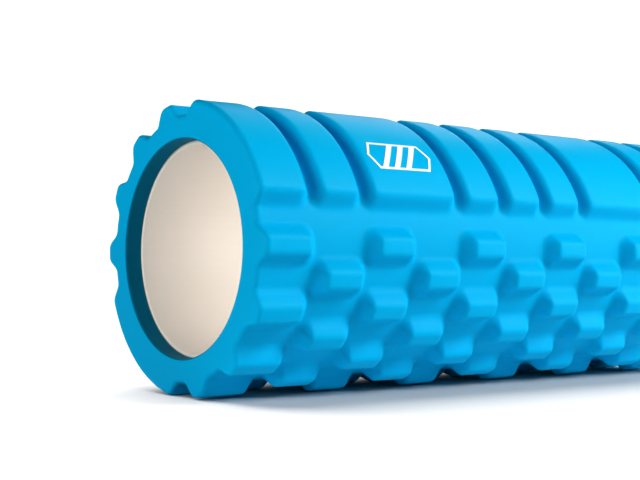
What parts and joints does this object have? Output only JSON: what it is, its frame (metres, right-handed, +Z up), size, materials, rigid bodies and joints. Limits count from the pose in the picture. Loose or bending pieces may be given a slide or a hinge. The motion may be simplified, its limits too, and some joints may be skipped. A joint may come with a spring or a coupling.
{
  "type": "foam roller",
  "caption": "Hollow massage roller: a moulded foam sleeve with wide pads and rows of small knobs, glued over a rigid plastic tube.",
  "frame": {"origin": "middle of the roller's axis, which is the centre of its bounding box", "axes": "+X along the roller's axis, +Z up as the roller lies at rest on its knobs and pad edges; the printed mark faces -Y and lies towards -X"},
  "size_m": [0.33, 0.14, 0.1388],
  "materials": {
    "foam": "satin, closed moulded skin of a dense EVA foam",
    "core_plastic": "satin, extruded",
    "glue": "dull, brushed on",
    "print": "matte transfer film"
  },
  "bodies": {
    "root": {"foam_sleeve": "foam", "core_tube": "core_plastic", "bond_layer": "glue", "printed_mark": "print"}
  },
  "joints": []
}
